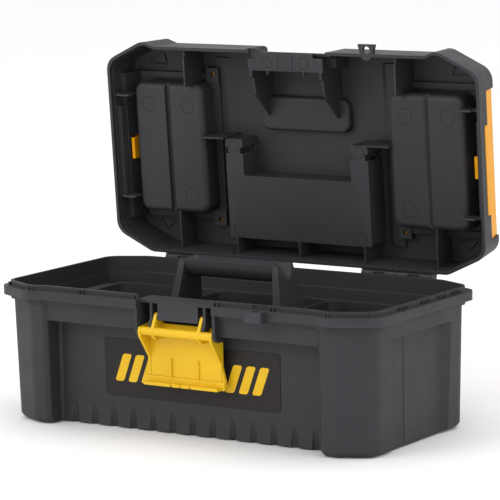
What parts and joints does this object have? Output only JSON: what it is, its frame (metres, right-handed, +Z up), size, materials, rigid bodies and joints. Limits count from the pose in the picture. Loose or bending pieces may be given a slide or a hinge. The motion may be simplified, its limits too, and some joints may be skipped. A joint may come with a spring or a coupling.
{
  "type": "carpenter toolbox",
  "caption": "Moulded plastic tool box with hinged lid, snap latch, folding carry handle, lidded organiser bins and lift-out tote tray.",
  "frame": {"origin": "middle of the underside of the tub, on the surface that it stands on", "axes": "+X along the length to the right, +Y to the back, +Z up"},
  "size_m": [0.32, 0.1957, 0.2675],
  "materials": {
    "body_plastic": "finely textured charcoal grey polypropylene",
    "black_plastic": "finely textured black polypropylene",
    "yellow_plastic": "smooth semi-gloss amber yellow polypropylene",
    "label_film": "dark printed film label"
  },
  "bodies": {
    "base": {"base_tub": "body_plastic", "front_label": "label_film", "hinge_pin_left": "body_plastic", "hinge_pin_right": "body_plastic"},
    "lid": {"lid_shell": "body_plastic"},
    "latch": {"front_latch": "yellow_plastic"},
    "handle": {"carry_handle": "black_plastic"},
    "cover_left": {"organiser_cover_left": "yellow_plastic"},
    "cover_right": {"organiser_cover_right": "yellow_plastic"},
    "tray": {"tote_tray": "body_plastic"}
  },
  "joints": [
    {"name": "lid_hinge", "type": "hinge", "parent": "base", "child": "lid", "pos_m": [0, 0.0834, 0.1006], "axis": [-1, 0, 0], "range_deg": [-86.25, 0]},
    {"name": "latch_hinge", "type": "hinge", "parent": "base", "child": "latch", "pos_m": [0, -0.073, 0.076], "axis": [1, 0, 0], "range_deg": [-187, 0]},
    {"name": "handle_fold", "type": "hinge", "parent": "lid", "child": "handle", "pos_m": [0, 0.0988, 0.18519], "axis": [1, 0, 0], "range_deg": [0, 90]},
    {"name": "cover_left_hinge", "type": "hinge", "parent": "lid", "child": "cover_left", "pos_m": [-0.0805, 0.10499, 0.18409], "axis": [0, 0.0654, -0.9979], "range_deg": [0, 100]},
    {"name": "cover_right_hinge", "type": "hinge", "parent": "lid", "child": "cover_right", "pos_m": [0.0805, 0.10499, 0.18409], "axis": [0, -0.0654, 0.9979], "range_deg": [0, 100]},
    {"name": "tray_lift", "type": "slide", "parent": "base", "child": "tray", "axis": [0, 0, 1], "range_m": [0, 0.07]}
  ]
}
